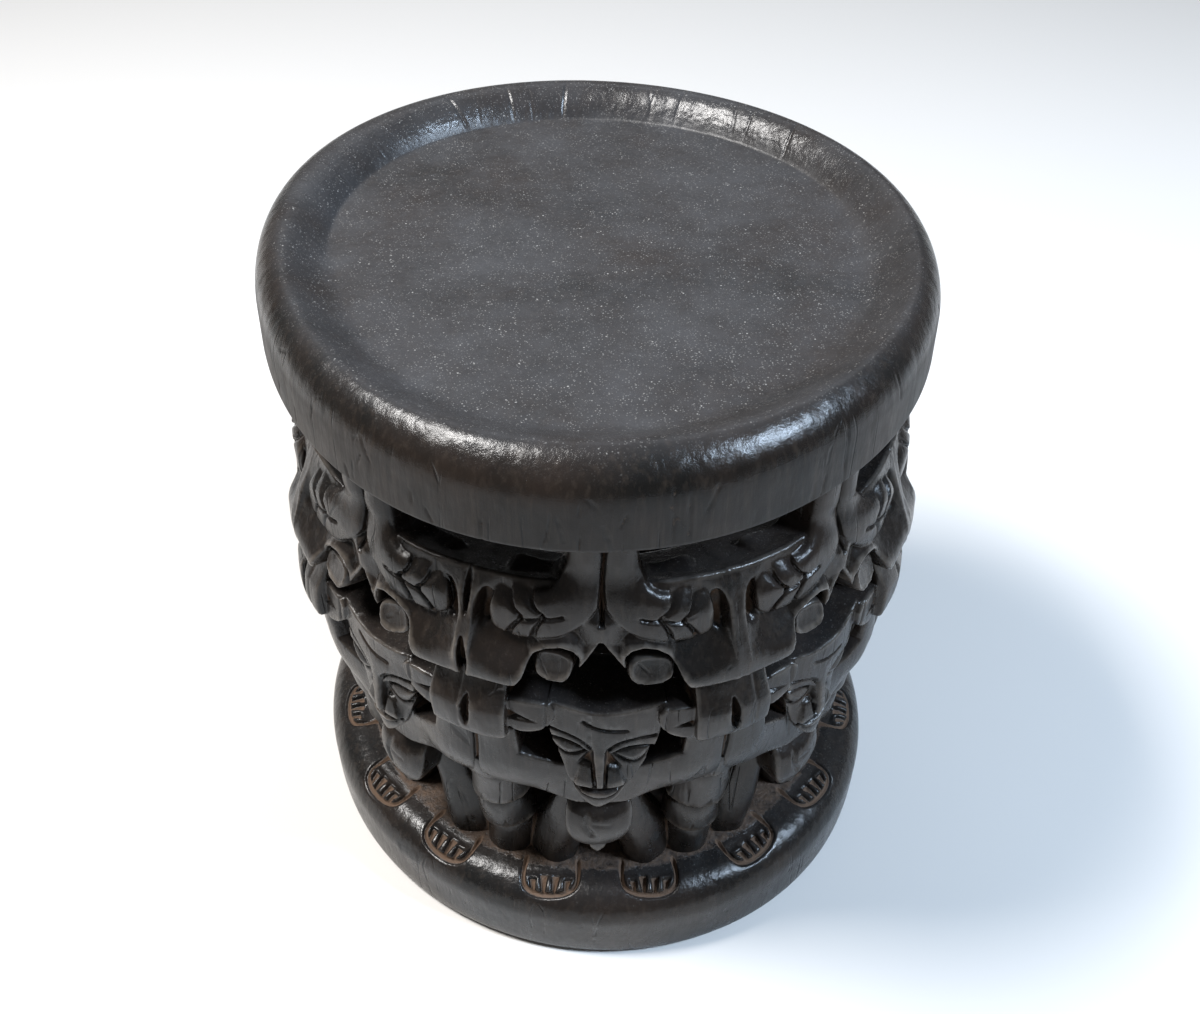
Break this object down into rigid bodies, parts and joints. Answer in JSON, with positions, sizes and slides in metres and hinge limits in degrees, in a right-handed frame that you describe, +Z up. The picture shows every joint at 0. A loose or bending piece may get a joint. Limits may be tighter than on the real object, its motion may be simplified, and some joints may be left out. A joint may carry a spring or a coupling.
{
  "type": "carved wooden stool",
  "caption": "Round carved wooden stool: a dished seat and a disc base joined by an openwork wall of crouching masked figures.",
  "frame": {"origin": "middle of the underside, on the floor", "axes": "+Z up, -Y towards the side shown in front, +X to the right seen from there"},
  "size_m": [0.3592, 0.3718, 0.4026],
  "materials": {
    "dark_wood": "blackened, waxed and polished by use, with brown dust in the recesses"
  },
  "bodies": {
    "root": {"stool": "dark_wood"}
  },
  "joints": []
}
